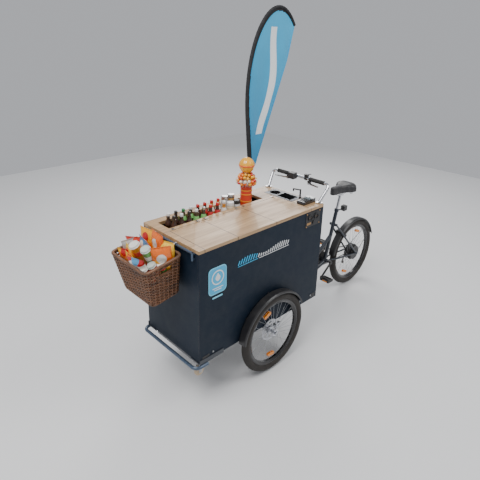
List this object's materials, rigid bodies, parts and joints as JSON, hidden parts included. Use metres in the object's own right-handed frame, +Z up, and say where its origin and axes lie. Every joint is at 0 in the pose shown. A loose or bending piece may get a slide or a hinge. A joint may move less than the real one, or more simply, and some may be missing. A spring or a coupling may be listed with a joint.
{
  "type": "cargo bicycle",
  "caption": "Front-loading vending tricycle: box with wooden worktop, sink, bottle well, hinged lids, basket, flag and a swivelling rear frame.",
  "frame": {"origin": "on the ground, under the middle of the whole object's box", "axes": "-Y forward (the basket end), +X the rider's left, +Z up"},
  "size_m": [0.746, 2.8311, 2.5824],
  "materials": {
    "navy_board": "dark blue laminated board, satin",
    "inner_board": "black board, matt",
    "oak_top": "oak laminate, satin",
    "hinge_steel": "zinc plated",
    "sink_steel": "brushed stainless",
    "black_metal": "black powder coat",
    "tank_plastic": "translucent white",
    "black_plastic": "fine grain",
    "bolt_steel": "domed, plated",
    "terminal_plastic": "gloss black",
    "navy_frame": "dark blue powder coat",
    "axle_steel": "plated",
    "caliper_metal": "machined",
    "fender_black": "gloss black",
    "bar_chrome": "polished",
    "grip_rubber": "ribbed",
    "rail_blue": "blue grey gloss",
    "goods_glass": "coloured glass and liquid",
    "goods_card": "printed card",
    "goods_film": "printed film bags",
    "tyre_rubber": "worn tread",
    "rim_black": "anodised black",
    "spoke_steel": "stainless",
    "hub_metal": "silver",
    "motor_black": "painted",
    "caster_tread": "cream tread",
    "wicker": "brown willow",
    "pole_fibre": "dark fibreglass",
    "flag_fabric": "knitted polyester",
    "post_metal": "polished",
    "saddle_leather": "black vinyl",
    "lamp_plastic": "dark",
    "drive_steel": "oiled",
    "crank_metal": "black anodised"
  },
  "bodies": {
    "box": {"left_panel": "navy_board", "right_panel": "navy_board", "front_panel": "navy_board", "rear_panel": "navy_board", "floor_panel": "inner_board", "well_liner": "inner_board", "cross_dividers": "inner_board", "worktop": "oak_top", "fixed_hinge_leaves": "hinge_steel", "sink_basin": "sink_steel", "battery_and_tanks": "tank_plastic", "power_panel": "black_plastic", "panel_bolts": "bolt_steel", "card_terminal": "terminal_plastic", "chassis_frame": "navy_frame", "front_axle": "axle_steel", "front_calipers": "caliper_metal", "front_fenders": "fender_black", "bumper": "rail_blue", "handlebar": "bar_chrome", "grips": "grip_rubber", "bar_controls": "black_plastic", "front_rail": "rail_blue", "drink_containers": "goods_glass", "lolly_stand": "goods_card", "flag_bracket": "black_metal"},
    "front_lid": {"front_lid": "oak_top"},
    "middle_lid": {"middle_lid": "oak_top"},
    "rear_lid": {"rear_lid": "oak_top"},
    "tap": {"tap_spout": "black_metal"},
    "caster_fork": {"caster_fork": "axle_steel"},
    "caster_wheel": {"caster_wheel": "caster_tread"},
    "left_front_wheel": {"left_front_tyre": "tyre_rubber", "left_front_rim": "rim_black", "left_front_spokes": "spoke_steel", "left_front_hub": "hub_metal"},
    "right_front_wheel": {"right_front_tyre": "tyre_rubber", "right_front_rim": "rim_black", "right_front_spokes": "spoke_steel", "right_front_hub": "hub_metal"},
    "rear_wheel": {"rear_tyre": "tyre_rubber", "rear_rim": "rim_black", "rear_spokes": "spoke_steel", "rear_hub": "motor_black"},
    "left_brake": {"left_brake_lever": "caliper_metal"},
    "right_brake": {"right_brake_lever": "caliper_metal"},
    "basket": {"basket": "wicker", "snack_packs": "goods_film"},
    "flag": {"flag_pole": "pole_fibre", "flag_cloth": "flag_fabric"},
    "rear_frame": {"rear_frame": "navy_frame", "rear_fender": "fender_black", "lock_and_lamp": "lamp_plastic", "drive_chain": "drive_steel"},
    "seat": {"seat_post": "post_metal", "saddle": "saddle_leather"},
    "crank": {"crankset": "crank_metal"},
    "left_pedal": {"left_pedal": "black_plastic"},
    "right_pedal": {"right_pedal": "black_plastic"},
    "cog": {"rear_cog": "drive_steel"}
  },
  "joints": [
    {"name": "steering", "type": "hinge", "parent": "box", "child": "rear_frame", "pos_m": [0, -0.02692, 0.3], "axis": [0, 0, 1], "range_deg": [-35, 35]},
    {"name": "left_front_wheel_spin", "type": "hinge", "parent": "box", "child": "left_front_wheel", "pos_m": [0.337, -0.45992, 0.3135], "axis": [1, 0, 0], "continuous": true},
    {"name": "right_front_wheel_spin", "type": "hinge", "parent": "box", "child": "right_front_wheel", "pos_m": [-0.337, -0.45992, 0.3135], "axis": [1, 0, 0], "continuous": true},
    {"name": "rear_wheel_spin", "type": "hinge", "parent": "rear_frame", "child": "rear_wheel", "pos_m": [0, 1.07608, 0.3395], "axis": [1, 0, 0], "continuous": true},
    {"name": "crank_spin", "type": "hinge", "parent": "rear_frame", "child": "crank", "pos_m": [0, 0.62808, 0.39], "axis": [1, 0, 0], "continuous": true},
    {"name": "cog_spin", "type": "hinge", "parent": "rear_frame", "child": "cog", "pos_m": [-0.046, 1.07608, 0.3395], "axis": [1, 0, 0], "continuous": true},
    {"name": "left_pedal_spin", "type": "hinge", "parent": "crank", "child": "left_pedal", "pos_m": [0.127, 0.49805, 0.28842], "axis": [1, 0, 0], "continuous": true},
    {"name": "right_pedal_spin", "type": "hinge", "parent": "crank", "child": "right_pedal", "pos_m": [-0.127, 0.7581, 0.49158], "axis": [1, 0, 0], "continuous": true},
    {"name": "seat_height", "type": "slide", "parent": "rear_frame", "child": "seat", "axis": [0, 0.2435, 0.9699], "range_m": [-0.08, 0.08]},
    {"name": "front_lid_lift", "type": "hinge", "parent": "box", "child": "front_lid", "pos_m": [-0.06, -0.93342, 1.1722], "axis": [0, -1, 0], "range_deg": [0, 75]},
    {"name": "middle_lid_lift", "type": "hinge", "parent": "box", "child": "middle_lid", "pos_m": [-0.06, -0.61392, 1.1722], "axis": [0, -1, 0], "range_deg": [0, 75]},
    {"name": "rear_lid_lift", "type": "hinge", "parent": "box", "child": "rear_lid", "pos_m": [-0.06, -0.23892, 1.1722], "axis": [0, -1, 0], "range_deg": [0, 75]},
    {"name": "tap_swivel", "type": "hinge", "parent": "box", "child": "tap", "pos_m": [0.088, 0.07308, 1.189], "axis": [0, 0, 1], "range_deg": [-90, 90]},
    {"name": "basket_lift_off", "type": "slide", "parent": "box", "child": "basket", "axis": [0, 0, 1], "range_m": [0, 0.06]},
    {"name": "caster_swivel", "type": "hinge", "parent": "box", "child": "caster_fork", "pos_m": [0.252, -1.09292, 0.34], "axis": [0, 0, 1], "continuous": true},
    {"name": "caster_roll", "type": "hinge", "parent": "caster_fork", "child": "caster_wheel", "pos_m": [0.252, -1.09292, 0.276], "axis": [1, 0, 0], "continuous": true},
    {"name": "left_brake_pull", "type": "hinge", "parent": "box", "child": "left_brake", "pos_m": [0.106, 0.14708, 1.28], "axis": [0, 0, 1], "range_deg": [0, 18], "stiffness_Nm_per_rad": 1, "springref_deg": -11.46},
    {"name": "right_brake_pull", "type": "hinge", "parent": "box", "child": "right_brake", "pos_m": [-0.106, 0.14708, 1.28], "axis": [0, 0, -1], "range_deg": [0, 18], "stiffness_Nm_per_rad": 1, "springref_deg": -11.46},
    {"name": "flag_swivel", "type": "hinge", "parent": "box", "child": "flag", "pos_m": [-0.32, -0.05892, 1], "axis": [0, -0.0976, 0.9952], "continuous": true}
  ],
  "couplings": [
    {"joint": "cog_spin", "follows": "crank_spin", "ratio": 2.1111}
  ]
}
